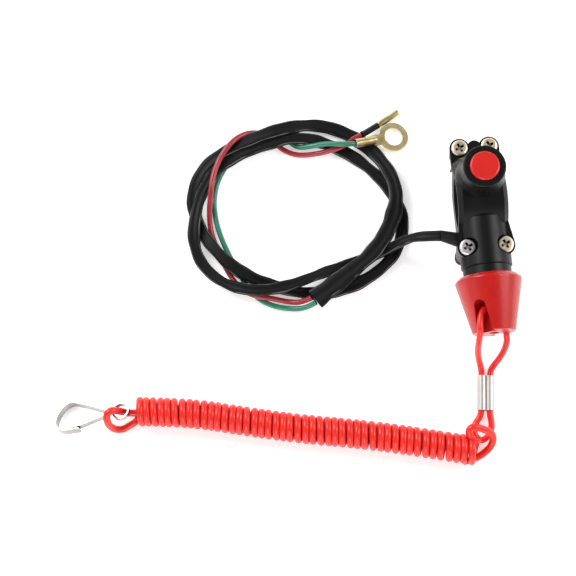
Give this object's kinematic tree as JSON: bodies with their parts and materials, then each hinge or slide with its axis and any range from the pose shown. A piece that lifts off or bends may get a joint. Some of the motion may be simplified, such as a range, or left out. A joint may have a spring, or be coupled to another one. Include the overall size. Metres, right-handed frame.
{
  "type": "engine kill switch with lanyard",
  "caption": "Handlebar engine kill switch: push button and pull-off tethered cap on a split clamp, with a two-wire lead and a coiled lanyard with snap hook.",
  "frame": {"origin": "centre of the handlebar clamp's bore, half way along it", "axes": "+X along the handlebar, +Y up the switch away from the release cap, +Z out of the push button"},
  "size_m": [0.1626, 0.129, 0.0385],
  "materials": {
    "black_plastic": "moulded, satin",
    "black_rubber": "matte",
    "black_sheath": "soft gloss",
    "gold_zinc": "yellow zinc plate",
    "bright_steel": "bright zinc plate",
    "nickel": "polished nickel plate",
    "terminal_brass": "tinned brass",
    "red_button_plastic": "gloss",
    "red_cap_plastic": "translucent gloss",
    "orange_cord": "soft vinyl gloss",
    "green_insulation": "soft gloss",
    "red_insulation": "soft gloss"
  },
  "bodies": {
    "switch": {"front_housing": "black_plastic", "rear_clamp": "black_plastic", "clamp_screws": "gold_zinc", "clamp_screw_silver": "bright_steel", "contact_carrier": "black_plastic", "button_terminals": "terminal_brass", "button_spring": "bright_steel", "jumper_wires": "green_insulation", "tether_barrel": "black_plastic", "terminal_plug": "black_plastic", "tether_terminals": "terminal_brass", "plunger_spring": "bright_steel", "cable_boot": "black_rubber", "lead_sheath": "black_sheath", "green_wire": "green_insulation", "red_wire": "red_insulation", "wire_sleeve": "black_sheath", "ring_terminal": "terminal_brass", "bullet_terminal": "terminal_brass"},
    "button": {"stop_button": "red_button_plastic", "button_contact": "terminal_brass"},
    "plunger": {"tether_plunger": "black_plastic", "plunger_contact": "terminal_brass"},
    "key": {"release_cap": "red_cap_plastic", "tether_loop": "orange_cord", "ferrule": "nickel", "coil_cord": "orange_cord", "coil_last_turn": "orange_cord", "coil_eye": "orange_cord", "snap_hook": "nickel"},
    "gate": {"hook_gate": "nickel"}
  },
  "joints": [
    {"name": "button_press", "type": "slide", "parent": "switch", "child": "button", "axis": [0, 0, -1], "range_m": [0, 0.0025], "stiffness_N_per_m": 600, "springref_m": -0.001, "deforming": ["button_spring"]},
    {"name": "key_pull", "type": "slide", "parent": "switch", "child": "key", "axis": [0, -1, 0], "range_m": [0, 0.014]},
    {"name": "plunger_out", "type": "slide", "parent": "switch", "child": "plunger", "axis": [0, -1, 0], "range_m": [0, 0.003], "deforming": ["plunger_spring"]},
    {"name": "gate_open", "type": "hinge", "parent": "key", "child": "gate", "pos_m": [-0.13316, -0.06244, -0.00801], "axis": [0.1954, -0.342, -0.9192], "range_deg": [0, 20], "stiffness_Nm_per_rad": 0.01, "springref_deg": -5.73}
  ],
  "couplings": [
    {"joint": "plunger_out", "follows": "key_pull", "ratio": 0.21429}
  ]
}
